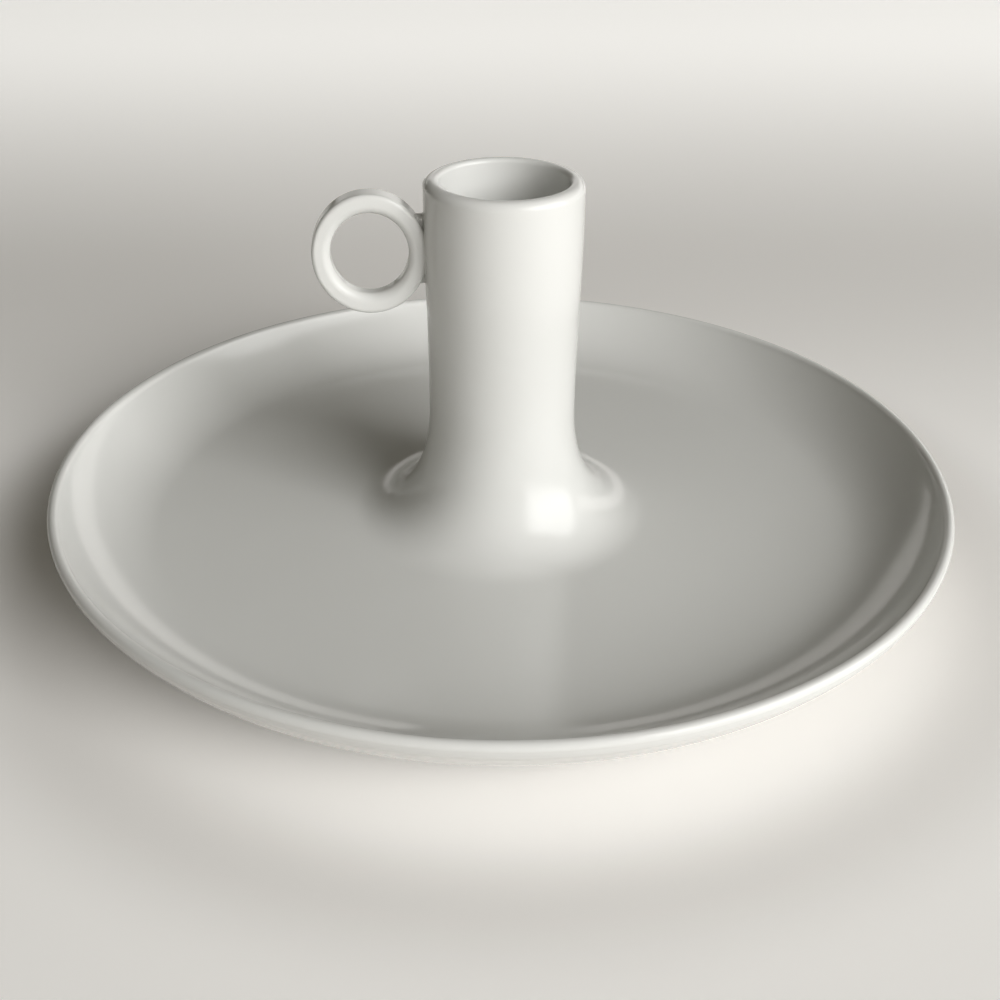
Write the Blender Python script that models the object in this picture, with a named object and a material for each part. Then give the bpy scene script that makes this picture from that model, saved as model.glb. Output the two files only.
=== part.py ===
"""Taper candle holder of white glazed porcelain, as a potter puts it together.

A wide shallow dish carries a hollow column with a candle socket at its top. The skirt of the column
sits in a rebate of the dish floor, so the two surfaces run into each other. A finger ring is luted to
the side of the column, and a disc inside the column is what the candle stands on.

All sizes are in metres. The origin is under the middle of the dish, on the surface it stands on, and
+Z is up. The finger ring points along -X.
"""

import math

import bmesh
import bpy

# Dish
DISH_DIAMETER = 0.1800
DISH_DEPTH = 0.0105
DISH_FLOOR_THICKNESS = 0.0045
DISH_LIP_THICKNESS = 0.0022
DISH_LIP_SLOPE = math.radians(66.0)
WALL_BEND_RADIUS = 0.0210
LIP_BEND_RADIUS = 0.0050
WALL_ROOT_THICKNESS = 0.0038
FOOT_DIAMETER = 0.1120
FOOT_LAND_WIDTH = 0.0028
FOOT_HEIGHT = 0.0030
FOOT_TAPER = 0.0016
DISH_HOLE_DIAMETER = 0.0180
DISH_HOLE_ROUNDING = 0.0008

# Candle column
COLUMN_HEIGHT = 0.0695
COLUMN_HEAD_DIAMETER = 0.0302
COLUMN_NECK_DIAMETER = 0.0290
COLUMN_SWELL_HEIGHT = 0.0310
FLARE_HEIGHT = 0.0234
FLARE_REACH = 0.0160
FLARE_TOP_SHARE = 0.61
FLARE_FOOT_SHARE = 0.65
SKIRT_EDGE_THICKNESS = 0.0016
COLUMN_WALL = 0.0039
MOUTH_OUTER_EDGE_RADIUS = 0.0017
MOUTH_INNER_EDGE_RADIUS = 0.0009

# Candle socket
SOCKET_MOUTH_DIAMETER = 0.0244
SOCKET_SEAT_DIAMETER = 0.0230
SOCKET_DEPTH = 0.0280
SOCKET_FLOOR_THICKNESS = 0.0030
SOCKET_FLOOR_ROUNDING = 0.0006

# Finger ring
RING_HOLE_DIAMETER = 0.0147
RING_BAND_THICKNESS = 0.0035
RING_BAND_WIDTH = 0.0049
RING_EDGE_RADIUS = 0.0011
RING_OVALITY = 1.069
RING_DROP = 0.0138
RING_SINK = 0.0007

# Luting slip
RING_SLIP_THICKNESS = 0.0006
RING_SLIP_WIDTH = 0.0034
RING_SLIP_RISE = 0.0072
RING_SLIP_FALL = 0.0063
RING_SLIP_SAG = 0.0004
BEAD_START_SHARE = 0.60
BEAD_FOOT_REACH = 0.0010

# Clearance between pieces that touch, and the extra clay that the fitting cutters take away
JOINT_GAP = 0.0003
CUT_ALLOWANCE = 0.0006
CUTTER_OVERHANG = 0.0100

# Finishes
GLAZE_COLOUR = (0.80, 0.80, 0.78)
SLIP_COLOUR = (0.74, 0.73, 0.70)
GLAZE_ROUGHNESS = 0.10
SOCKET_ROUGHNESS = 0.15
RING_SLIP_ROUGHNESS = 0.12
BARE_SLIP_ROUGHNESS = 0.55

# Fineness of the turned surfaces: facets round the axis, and steps along each curve of a section
DISH_SEGMENTS = 72
COLUMN_SEGMENTS = 56
DISC_SEGMENTS = 40
BEAD_SEGMENTS = 40
RING_SEGMENTS = 56
WIDE_BEND_STEPS = 9
LIP_BEND_STEPS = 3
DISH_LIP_STEPS = 7
FLARE_STEPS = 10
SWELL_STEPS = 4
MOUTH_EDGE_STEPS = 4
HOLLOW_STEPS = 7
SLIP_STEPS = 5
BAND_EDGE_STEPS = 3
HOLE_ROUNDING_STEPS = 3
DISC_EDGE_STEPS = 2
SMOOTH_ANGLE = math.radians(40.0)
MERGE_DISTANCE = 0.000001
SAME_POINT_DISTANCE = 0.00001
HALVINGS = 40

# Heights and radii that follow from the sizes above
FLOOR_Z = FOOT_HEIGHT + DISH_FLOOR_THICKNESS
RIM_Z = FLOOR_Z + DISH_DEPTH
MOUTH_Z = FLOOR_Z + COLUMN_HEIGHT
DISH_RADIUS = DISH_DIAMETER / 2
HEAD_RADIUS = COLUMN_HEAD_DIAMETER / 2
NECK_RADIUS = COLUMN_NECK_DIAMETER / 2
SKIRT_RADIUS = NECK_RADIUS + FLARE_REACH
SKIRT_BOTTOM_Z = FLOOR_Z - SKIRT_EDGE_THICKNESS
REBATE_RADIUS = SKIRT_RADIUS + JOINT_GAP
REBATE_Z = SKIRT_BOTTOM_Z - JOINT_GAP
NECK_Z = FLOOR_Z + FLARE_HEIGHT
HOLLOW_RADIUS = NECK_RADIUS - COLUMN_WALL
SEAT_RADIUS = SOCKET_SEAT_DIAMETER / 2
MOUTH_RADIUS = SOCKET_MOUTH_DIAMETER / 2
SEAT_Z = MOUTH_Z - SOCKET_DEPTH
SHOULDER_Z = SEAT_Z - SOCKET_FLOOR_THICKNESS - JOINT_GAP
RING_INNER_RADIUS = RING_HOLE_DIAMETER / 2
RING_OUTER_RADIUS = RING_INNER_RADIUS + RING_BAND_THICKNESS
RING_REACH = HEAD_RADIUS - RING_SINK + RING_OUTER_RADIUS
RING_Z = MOUTH_Z - RING_DROP
RING_SLIP_BACK = HEAD_RADIUS + JOINT_GAP
RING_SLIP_FRONT = RING_SLIP_BACK + RING_SLIP_THICKNESS
RING_SEAT_RADIUS = RING_SLIP_FRONT + JOINT_GAP


def clear_scene():
    """Take every object out of the open file."""
    for item in list(bpy.data.objects):
        bpy.data.objects.remove(item, do_unlink=True)


def clay_material(name, colour, roughness):
    """A Principled BSDF for fired clay with this colour and roughness."""
    material = bpy.data.materials.new(name)
    material.use_nodes = True
    shader = material.node_tree.nodes["Principled BSDF"]
    shader.inputs["Base Color"].default_value = (*colour, 1.0)
    shader.inputs["Roughness"].default_value = roughness
    shader.inputs["Metallic"].default_value = 0.0
    material.diffuse_color = (*colour, 1.0)
    return material


def arc(centre, radius, start, end, steps):
    """Points of a circular arc in the (radius, height) plane, both ends included."""
    points = []
    for step in range(steps + 1):
        angle = start + (end - start) * step / steps
        points.append((centre[0] + radius * math.cos(angle), centre[1] + radius * math.sin(angle)))
    return points


def add_object(name, bm, material):
    """Make an object of a bmesh, with its faces outwards and its round surfaces smooth."""
    bmesh.ops.recalc_face_normals(bm, faces=bm.faces)
    mesh = bpy.data.meshes.new(name)
    bm.to_mesh(mesh)
    bm.free()
    mesh.shade_smooth()
    mesh.set_sharp_from_angle(angle=SMOOTH_ANGLE)
    mesh.materials.append(material)
    item = bpy.data.objects.new(name, mesh)
    bpy.context.collection.objects.link(item)
    return item


def turned(name, outline, segments, material, closed=True):
    """Spin an outline of (radius, height) points round the Z axis."""
    bm = bmesh.new()
    verts = [bm.verts.new((radius, 0.0, height)) for radius, height in outline]
    pairs = list(zip(verts, verts[1:]))
    if closed:
        pairs.append((verts[-1], verts[0]))
    edges = [bm.edges.new(pair) for pair in pairs]
    bmesh.ops.spin(
        bm,
        geom=verts + edges,
        cent=(0.0, 0.0, 0.0),
        axis=(0.0, 0.0, 1.0),
        angle=2.0 * math.pi,
        steps=segments,
        use_merge=True,
    )
    bmesh.ops.remove_doubles(bm, verts=bm.verts, dist=MERGE_DISTANCE)
    return add_object(name, bm, material)


def wall_thickness(angle):
    """Thickness of the dish wall where its slope is angle: stout at the root, thin at the lip."""
    share = angle / DISH_LIP_SLOPE
    return WALL_ROOT_THICKNESS + (DISH_LIP_THICKNESS - WALL_ROOT_THICKNESS) * share


def wall_bends():
    """The two bends of the dish wall, each as (centre, radius, first slope, last slope).

    The wide bend leaves the level floor, and the tight one ends in the lip. The slope at which one
    hands over to the other is the one that makes them climb from the floor to the lip's middle.
    """
    lip_radius = DISH_LIP_THICKNESS / 2
    end_r = DISH_RADIUS - lip_radius - lip_radius * math.sin(DISH_LIP_SLOPE)
    end_z = RIM_Z - lip_radius + lip_radius * math.cos(DISH_LIP_SLOPE)
    climb = end_z - FLOOR_Z
    cosine = (WALL_BEND_RADIUS - LIP_BEND_RADIUS * math.cos(DISH_LIP_SLOPE) - climb) / (
        WALL_BEND_RADIUS - LIP_BEND_RADIUS
    )
    change = math.acos(max(math.cos(DISH_LIP_SLOPE), min(1.0, cosine)))
    tight = (
        end_r - LIP_BEND_RADIUS * math.sin(DISH_LIP_SLOPE),
        end_z + LIP_BEND_RADIUS * math.cos(DISH_LIP_SLOPE),
    )
    spread = WALL_BEND_RADIUS - LIP_BEND_RADIUS
    wide = (tight[0] - spread * math.sin(change), tight[1] + spread * math.cos(change))
    return (wide, WALL_BEND_RADIUS, 0.0, change), (tight, LIP_BEND_RADIUS, change, DISH_LIP_SLOPE)


def wall_curve(outside):
    """Points of the dish wall from its root to its lip, on the inside or the outside."""
    points = []
    for (centre, radius, first, last), steps in zip(wall_bends(), (WIDE_BEND_STEPS, LIP_BEND_STEPS)):
        for step in range(steps + 1):
            slope = first + (last - first) * step / steps
            reach = radius + (wall_thickness(slope) if outside else 0.0)
            points.append((centre[0] + reach * math.sin(slope), centre[1] - reach * math.cos(slope)))
    return drop_repeats(points)


def drop_repeats(points):
    """Leave out each point that lies on the one before it."""
    kept = []
    for point in points:
        if not kept or math.dist(point, kept[-1]) > SAME_POINT_DISTANCE:
            kept.append(point)
    return kept


def dish_outline():
    """Section of the dish: floor with its rebate, wall, lip, underside and foot ring."""
    lip_radius = DISH_LIP_THICKNESS / 2
    hole = DISH_HOLE_DIAMETER / 2
    foot = FOOT_DIAMETER / 2
    land = foot - FOOT_LAND_WIDTH
    top = [(hole, REBATE_Z), (REBATE_RADIUS, REBATE_Z), (REBATE_RADIUS, FLOOR_Z)]
    lip_turn = math.pi / 2 + DISH_LIP_SLOPE
    lip_centre = (DISH_RADIUS - lip_radius, RIM_Z - lip_radius)
    lip = arc(lip_centre, lip_radius, lip_turn, lip_turn - math.pi, DISH_LIP_STEPS)
    underside = [
        (foot + FOOT_TAPER, FOOT_HEIGHT),
        (foot, 0.0),
        (land, 0.0),
        (land - FOOT_TAPER, FOOT_HEIGHT),
    ]
    rounding = arc(
        (hole + DISH_HOLE_ROUNDING, FOOT_HEIGHT + DISH_HOLE_ROUNDING),
        DISH_HOLE_ROUNDING,
        -math.pi / 2,
        -math.pi,
        HOLE_ROUNDING_STEPS,
    )
    outer_wall = wall_curve(outside=True)
    outer_wall.reverse()
    return drop_repeats(top + wall_curve(outside=False) + lip + outer_wall + underside + rounding)


def flare_point(share, inset):
    """A point of the flared skirt, inset into the clay from its outer surface.

    The surface is one smooth curve: upright at the neck (share 0) and level where it meets the dish
    floor (share 1). The flare's top and foot shares say how long it keeps to its direction there.
    """
    rest = 1.0 - share
    upper = FLARE_HEIGHT * (1.0 - FLARE_TOP_SHARE)
    outer = FLARE_REACH * (1.0 - FLARE_FOOT_SHARE)
    across = 3.0 * rest * share**2 * outer + share**3 * FLARE_REACH
    up = rest**3 * FLARE_HEIGHT + 3.0 * rest**2 * share * upper
    run = 3.0 * share * (2.0 - 3.0 * share) * outer + 3.0 * share**2 * FLARE_REACH
    fall = 3.0 * rest * (1.0 - 3.0 * share) * upper - 3.0 * rest**2 * FLARE_HEIGHT
    length = math.hypot(run, fall)
    radius = NECK_RADIUS + across + inset * fall / length
    height = FLOOR_Z + up - inset * run / length
    return radius, height


def flare_share_at(height, inset):
    """How far along the skirt its inset surface comes down to this height."""
    low = 0.0
    high = 1.0
    for _ in range(HALVINGS):
        middle = (low + high) / 2
        if flare_point(middle, inset)[1] > height:
            low = middle
        else:
            high = middle
    return (low + high) / 2


def flare_curve(inset, start, end, steps):
    """Points of the skirt's surface, or of one inset from it, between two shares of its length."""
    return [flare_point(start + (end - start) * step / steps, inset) for step in range(steps + 1)]


def column_outline():
    """Section of the column: skirt, swelling wall, rounded mouth, candle socket, shoulder and hollow."""
    outside = flare_curve(0.0, 1.0, 0.0, FLARE_STEPS)
    for step in range(1, SWELL_STEPS + 1):
        share = step / SWELL_STEPS
        radius = NECK_RADIUS + (HEAD_RADIUS - NECK_RADIUS) * share * share
        outside.append((radius, NECK_Z + COLUMN_SWELL_HEIGHT * share))
    outer_centre = (HEAD_RADIUS - MOUTH_OUTER_EDGE_RADIUS, MOUTH_Z - MOUTH_OUTER_EDGE_RADIUS)
    inner_centre = (MOUTH_RADIUS + MOUTH_INNER_EDGE_RADIUS, MOUTH_Z - MOUTH_INNER_EDGE_RADIUS)
    outer_lip = arc(outer_centre, MOUTH_OUTER_EDGE_RADIUS, 0.0, math.pi / 2, MOUTH_EDGE_STEPS)
    inner_lip = arc(inner_centre, MOUTH_INNER_EDGE_RADIUS, math.pi / 2, math.pi, MOUTH_EDGE_STEPS)
    socket = [(SEAT_RADIUS, SHOULDER_Z), (HOLLOW_RADIUS, SHOULDER_Z)]
    last = flare_share_at(SKIRT_BOTTOM_Z, COLUMN_WALL)
    hollow = flare_curve(COLUMN_WALL, 0.0, last, HOLLOW_STEPS)
    edge = [(SKIRT_RADIUS, SKIRT_BOTTOM_Z)]
    return drop_repeats(edge + outside + outer_lip + inner_lip + socket + hollow)


def socket_floor_outline():
    """Section of the disc that the candle stands on, from the axis out and back."""
    radius = SEAT_RADIUS - JOINT_GAP
    bottom = SEAT_Z - SOCKET_FLOOR_THICKNESS
    edge = SOCKET_FLOOR_ROUNDING
    upper = arc((radius - edge, SEAT_Z - edge), edge, math.pi / 2, 0.0, DISC_EDGE_STEPS)
    lower = arc((radius - edge, bottom + edge), edge, 0.0, -math.pi / 2, DISC_EDGE_STEPS)
    return [(0.0, SEAT_Z)] + upper + lower + [(0.0, bottom)]


def column_luting_outline():
    """Section of the bead of slip in the corner between the skirt's inside and the dish."""
    inset = COLUMN_WALL + JOINT_GAP
    last = flare_share_at(SKIRT_BOTTOM_Z, inset)
    curve = flare_curve(inset, BEAD_START_SHARE, last, SLIP_STEPS)
    toe = (curve[0][0] - BEAD_FOOT_REACH, SKIRT_BOTTOM_Z)
    return curve + [toe]


def band_outline():
    """Section of the ring's band about its middle: a rectangle with well rounded edges."""
    half = RING_BAND_THICKNESS / 2 - RING_EDGE_RADIUS
    side = RING_BAND_WIDTH / 2 - RING_EDGE_RADIUS
    corners = ((half, side), (-half, side), (-half, -side), (half, -side))
    points = []
    for number, corner in enumerate(corners):
        start = number * math.pi / 2
        points += arc(corner, RING_EDGE_RADIUS, start, start + math.pi / 2, BAND_EDGE_STEPS)
    return drop_repeats(points)


def make_finger_ring(material, mount):
    """The finger ring: its band spun round the ring's own axis, then hollowed to fit the column."""
    bm = bmesh.new()
    middle = RING_INNER_RADIUS + RING_BAND_THICKNESS / 2
    verts = [bm.verts.new((middle + across, along, 0.0)) for across, along in band_outline()]
    edges = [bm.edges.new((verts[index - 1], verts[index])) for index in range(len(verts))]
    bmesh.ops.spin(
        bm,
        geom=verts + edges,
        cent=(0.0, 0.0, 0.0),
        axis=(0.0, 1.0, 0.0),
        angle=2.0 * math.pi,
        steps=RING_SEGMENTS,
        use_merge=True,
    )
    bmesh.ops.remove_doubles(bm, verts=bm.verts, dist=MERGE_DISTANCE)
    bmesh.ops.scale(bm, verts=bm.verts, vec=(1.0, 1.0, RING_OVALITY))
    ring = add_object("finger_ring", bm, material)
    ring.parent = mount
    cut(ring, column_cutter("ring_seat_cutter", RING_SEAT_RADIUS, material))
    return ring


def ring_edge_point(angle, spread):
    """A point in the ring's plane, spread out from its outer edge, at an angle above the column side."""
    radius = RING_OUTER_RADIUS + spread
    return radius * math.cos(angle), radius * RING_OVALITY * math.sin(angle)


def slip_web(rise):
    """Outer points of the slip in one notch, from the seat to the tip, which lies rise from the middle."""
    edge = RING_OUTER_RADIUS + JOINT_GAP
    first = math.acos((RING_REACH - RING_SLIP_FRONT) / edge)
    last = math.asin(rise / (edge * RING_OVALITY))
    points = []
    for step in range(SLIP_STEPS + 1):
        points.append(ring_edge_point(first + (last - first) * step / SLIP_STEPS, JOINT_GAP))
    tip = points[-1]
    wall = RING_REACH - RING_SLIP_BACK
    points.append(((tip[0] + wall) / 2, tip[1] - RING_SLIP_SAG))
    points.append((wall, tip[1] + RING_SLIP_SAG))
    points.append((wall + CUT_ALLOWANCE, tip[1] + RING_SLIP_SAG))
    return points


def make_ring_luting(material, mount):
    """The saddle of slip between ring and column, with a web in the notch above and below it."""
    upper = slip_web(RING_SLIP_RISE)
    lower = [(across, -height) for across, height in slip_web(RING_SLIP_FALL)]
    lower.reverse()
    bm = bmesh.new()
    front = [bm.verts.new((across, -RING_SLIP_WIDTH / 2, height)) for across, height in lower + upper]
    face = bm.faces.new(front)
    grown = bmesh.ops.extrude_face_region(bm, geom=[face])
    moved = [part for part in grown["geom"] if isinstance(part, bmesh.types.BMVert)]
    bmesh.ops.translate(bm, verts=moved, vec=(0.0, RING_SLIP_WIDTH, 0.0))
    saddle = add_object("ring_luting", bm, material)
    saddle.parent = mount
    cut(saddle, column_cutter("ring_slip_cutter", RING_SLIP_BACK, material))
    return saddle


def cut(item, cutter):
    """Cut one object with another, live, so the fit follows the sizes."""
    boolean = item.modifiers.new("fit to column", "BOOLEAN")
    boolean.operation = "DIFFERENCE"
    boolean.solver = "EXACT"
    boolean.object = cutter


def column_cutter(name, radius, material):
    """A cutter as wide as the column and what lies on it, beside the ring."""
    reach = RING_OUTER_RADIUS * RING_OVALITY + CUTTER_OVERHANG
    top = RING_Z + reach
    foot = RING_Z - reach
    outline = [(0.0, top), (radius, top), (radius, foot), (0.0, foot)]
    cutter = turned(name, outline, COLUMN_SEGMENTS, material, closed=False)
    cutter.hide_render = True
    cutter.display_type = "WIRE"
    return cutter


def make_ring_mount():
    """The empty at the middle of the ring's hole, which places the ring and its luting."""
    mount = bpy.data.objects.new("ring_mount", None)
    mount.location = (-RING_REACH, 0.0, RING_Z)
    bpy.context.collection.objects.link(mount)
    return mount


def main():
    clear_scene()
    dish_glaze = clay_material("dish_glaze", GLAZE_COLOUR, GLAZE_ROUGHNESS)
    column_glaze = clay_material("column_glaze", GLAZE_COLOUR, GLAZE_ROUGHNESS)
    socket_glaze = clay_material("socket_floor_glaze", GLAZE_COLOUR, SOCKET_ROUGHNESS)
    column_slip = clay_material("column_slip", SLIP_COLOUR, BARE_SLIP_ROUGHNESS)
    ring_glaze = clay_material("ring_glaze", GLAZE_COLOUR, GLAZE_ROUGHNESS)
    ring_slip = clay_material("ring_slip", GLAZE_COLOUR, RING_SLIP_ROUGHNESS)
    turned("dish", dish_outline(), DISH_SEGMENTS, dish_glaze)
    turned("candle_column", column_outline(), COLUMN_SEGMENTS, column_glaze)
    turned("socket_floor", socket_floor_outline(), DISC_SEGMENTS, socket_glaze, closed=False)
    turned("column_luting", column_luting_outline(), BEAD_SEGMENTS, column_slip)
    mount = make_ring_mount()
    make_finger_ring(ring_glaze, mount)
    make_ring_luting(ring_slip, mount)


main()
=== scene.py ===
"""Finished looks of a white glazed porcelain candle holder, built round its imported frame.

The dish and the column are thrown on a potter's wheel made of geometry nodes, the finger ring and its
slip are grown as one skin over the column, and a glaze material coats them all. Sizes are in metres.
The origin is under the middle of the dish, on the table, and the finger ring points along -X.
"""

import math
from functools import reduce

import bmesh
import bpy
from bpy.props import FloatProperty, FloatVectorProperty, PointerProperty
from mathutils import Matrix, Vector


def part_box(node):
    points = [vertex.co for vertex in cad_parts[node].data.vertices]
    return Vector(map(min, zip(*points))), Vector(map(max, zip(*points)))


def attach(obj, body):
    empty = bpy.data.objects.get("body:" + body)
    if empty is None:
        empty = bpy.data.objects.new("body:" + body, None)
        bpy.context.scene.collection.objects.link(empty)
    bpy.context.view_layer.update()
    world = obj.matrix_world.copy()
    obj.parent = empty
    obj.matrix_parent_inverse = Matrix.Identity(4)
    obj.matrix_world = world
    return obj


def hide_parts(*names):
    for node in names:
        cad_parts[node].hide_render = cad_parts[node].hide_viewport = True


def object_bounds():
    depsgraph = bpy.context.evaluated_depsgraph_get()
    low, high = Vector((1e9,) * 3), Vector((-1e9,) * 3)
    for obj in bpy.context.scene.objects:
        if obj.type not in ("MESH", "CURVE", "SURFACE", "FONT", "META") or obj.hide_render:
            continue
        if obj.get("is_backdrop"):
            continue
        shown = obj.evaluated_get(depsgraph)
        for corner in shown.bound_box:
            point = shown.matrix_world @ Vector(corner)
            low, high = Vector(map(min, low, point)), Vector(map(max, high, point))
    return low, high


bl_info = {
    "name": "Porcelain Candle Holder",
    "version": (1, 0, 0),
    "blender": (4, 5, 0),
    "location": "3D View > Sidebar > Candle Holder",
    "description": "Throws, lutes and glazes a porcelain candle holder with a dish and a finger ring",
    "category": "Add Mesh",
}

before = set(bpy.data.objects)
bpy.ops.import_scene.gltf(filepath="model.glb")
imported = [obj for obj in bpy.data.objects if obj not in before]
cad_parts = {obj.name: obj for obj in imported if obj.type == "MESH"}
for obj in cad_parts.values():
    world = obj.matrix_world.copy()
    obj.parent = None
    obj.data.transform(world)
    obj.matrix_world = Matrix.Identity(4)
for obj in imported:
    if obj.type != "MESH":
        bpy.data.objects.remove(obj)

BODY = "root"
GLAZE_SLOT = "white_glaze"
SLIP_SLOT = "bare_slip"

DISH_LOW, DISH_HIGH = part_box("dish")
COLUMN_LOW, COLUMN_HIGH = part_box("candle_column")
RING_LOW, RING_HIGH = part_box("finger_ring")
DISC_LOW, DISC_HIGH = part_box("socket_floor")

# Blisters in the glaze of the dish floor, each as place, radius and lift.
BLISTERS = (
    ((-0.02493, -0.06404), 0.00024, 0.00009),
    ((0.03182, -0.05928), 0.00044, 0.00020),
    ((-0.00912, -0.03331), 0.00028, 0.00007),
    ((-0.05352, -0.01491), 0.00030, 0.00005),
    ((-0.05169, -0.01796), 0.00042, 0.00005),
)
# Points closer together than this are one point.
FINE_MERGE = 0.000001
# Room for the waves of the thrown clay at the lip and the mouth, inside the frame's box.
WAVE_ROOM = 0.00004
# Heights between which those waves grow from nothing, so that the foot stands flat.
STILL_HEIGHT, WAVY_HEIGHT = 0.0005, 0.003
# Gap that the frame leaves between neighbouring pieces.
JOINT_GAP = 0.0003
# Largest share of a side that the rounding of a corner takes.
TURNED_SHARE = 0.49
# Outer radius of the finger ring, and rounding of the socket floor's edge.
RING_RADIUS, DISC_EDGE = 0.01085, 0.0007
SHARP_ANGLE = math.radians(50.0)
QUARTER = math.pi / 2

# Steps along the curves of a section, and the longest straight runs of large pieces, disc and bead.
BEND_STEPS, MOUTH_STEPS = (44, 14), (16, 14)
LIP_STEPS, SKIRT_STEPS, SHAFT_STEPS, HOLLOW_STEPS, BEAD_STEPS = 24, 72, 40, 40, 40
LONG_RUN, DISC_RUN, BEAD_RUN = 0.0016, 0.0008, 0.0005
# Faces round the axis of large pieces, disc and bead.
LARGE_FACES, DISC_FACES, BEAD_FACES = 288, 128, 160

# How far a hollow curve steps out where it meets a level underside.
HEEL = 0.0004
# The bead: the shares of the skirt that it covers, how far it spreads, and the depth of its waves.
BEAD_START, BEAD_SPAN, BEAD_TOE, BEAD_WAVES = 0.60, 0.20, 0.0010, 0.0002

# The ring's skin: the size of the cells that it is grown from, the room round it, how deep in the
# column it ends, and how fast its density falls with the distance from it.
SKIN_CELL, SKIN_MARGIN, SKIN_INSIDE, SKIN_FALL = 0.00013, 0.0012, 0.0026, 1000.0

# The inputs that hold each kind of value.
SOCKET_KINDS = {float: "Float", int: "Int", Vector: "Vector", bpy.types.Material: "Material"}


def length(name, default, description):
    """A property that holds a length in metres."""
    return FloatProperty(
        name=name, description=description, default=default, min=0.0, unit="LENGTH", precision=5
    )


def angle(name, degrees, description):
    """A property that holds an angle, with its default given in degrees."""
    return FloatProperty(name=name, description=description, default=math.radians(degrees), unit="ROTATION")


def amount(name, default, description, high=10.0):
    """A property that holds a plain number."""
    return FloatProperty(name=name, description=description, default=default, min=0.0, max=high)


def colour(name, default, description):
    """A property that holds a colour."""
    return FloatVectorProperty(
        name=name, description=description, default=default, subtype="COLOR", min=0.0, max=1.0
    )


class DishSizes(bpy.types.PropertyGroup):
    """Sizes of the dish and its foot ring."""

    diameter: length("Diameter", DISH_HIGH.x - DISH_LOW.x - 2 * WAVE_ROOM, "Width of the dish over its lip")
    rim_height: length("Rim height", DISH_HIGH.z - WAVE_ROOM, "Height of the lip above the table")
    floor_height: length("Floor height", 0.0075, "Height of the floor above the table")
    lip_thickness: length("Lip", 0.0022, "Thickness of the rolled lip")
    root_thickness: length("Root", 0.0038, "Thickness of the wall where it leaves the floor")
    lip_slope: angle("Lip slope", 66.0, "Slope of the wall at the lip")
    wide_bend: length("Wide bend", 0.0210, "Radius of the bend from floor to wall")
    tight_bend: length("Tight bend", 0.0050, "Radius of the bend under the lip")
    foot_diameter: length("Foot", 0.1120, "Width of the foot ring")
    foot_land: length("Foot land", 0.0028, "Width of the face that the foot ring stands on")
    foot_height: length("Foot height", 0.0030, "Height of the foot ring")
    foot_taper: length("Foot taper", 0.0016, "How far each side of the foot ring leans")
    foot_edge: length("Foot edge", 0.0005, "Rounding of the foot ring's edges")
    foot_fillet: length("Foot fillet", 0.0012, "Fillet where the foot ring leaves the dish")
    vent_diameter: length("Vent", 0.0180, "Width of the hole under the column")
    vent_rounding: length("Vent rounding", 0.0008, "Rounding of that hole's edge")
    seam_radius: length("Seam radius", COLUMN_HIGH.x, "Where the dish floor meets the column's skirt")


class ColumnSizes(bpy.types.PropertyGroup):
    """Sizes of the candle column and its socket."""

    mouth_height: length("Mouth height", COLUMN_HIGH.z - WAVE_ROOM, "Height of the mouth above the table")
    head_diameter: length("Head", 0.0302, "Width of the column at its head")
    neck_diameter: length("Neck", 0.0290, "Width of the column just above its skirt")
    swell_height: length("Swell", 0.0310, "Height over which the neck swells to the head")
    swell_turn: amount("Swell turn", 0.80, "Share of the swell after which it turns upright", 1.0)
    flare_height: length("Flare height", 0.0234, "Height of the skirt")
    flare_reach: length("Flare reach", 0.0160, "How far the skirt spreads")
    top_pull: amount("Top pull", 0.61, "How long the skirt keeps upright below the neck", 1.0)
    foot_pull: amount("Foot pull", 0.65, "How long the skirt keeps level before the dish floor", 1.0)
    skirt_bottom: length("Skirt bottom", COLUMN_LOW.z, "Height of the skirt's underside")
    wall: length("Wall", 0.0039, "Thickness of the column's wall below its socket")
    outer_edge: length("Outer edge", 0.0018, "Rounding of the mouth's outer edge")
    inner_edge: length("Inner edge", 0.0009, "Rounding of the mouth's inner edge")
    socket_mouth: length("Socket mouth", 0.0244, "Width of the candle socket at its mouth")
    socket_seat: length("Socket seat", 0.0230, "Width of the candle socket at its seat")
    shoulder_height: length("Shoulder", DISC_LOW.z - JOINT_GAP, "Height of the ledge under the socket floor")


class RingSizes(bpy.types.PropertyGroup):
    """Sizes of the finger ring and of the slip that lutes it to the column."""

    centre_x: length("Reach", -(RING_LOW.x + RING_RADIUS), "Distance of the ring's middle from the axis")
    centre_z: length("Height", (RING_LOW.z + RING_HIGH.z) / 2, "Height of the ring's middle above the table")
    outer_radius: length("Outer radius", RING_RADIUS, "Outer radius of the band at its sides")
    band_thickness: length("Band thickness", 0.0035, "Thickness of the band, from hole to outside")
    band_width: length("Band width", RING_HIGH.y - RING_LOW.y, "Width of the band along the hole")
    outer_edge: length("Outer edge", 0.0008, "Rounding of the band's edges on its outside")
    inner_edge: length("Inner edge", 0.0016, "Rounding of the band's edges inside, where a finger rubs")
    ovality: amount("Ovality", 1.069, "Height of the ring over its width", 2.0)
    blend: length("Blend", 0.0006, "How softly the slip runs from ring to column")
    web_width: length("Web width", 0.0018, "Width of the slip in the notches")
    web_rise: length("Web rise", 0.0072, "How far the slip fills the upper notch")
    web_fall: length("Web fall", 0.0063, "How far the slip fills the lower notch")
    web_offset: length("Web offset", 0.0009, "How far outside the column's head the slip's middle lies")
    root_depth: length("Root depth", 0.0014, "How deep in the column's wall the slip ends")
    skin_lift: length("Skin lift", 0.000006, "How deep the slip's margin lies under the column's surface")


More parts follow.
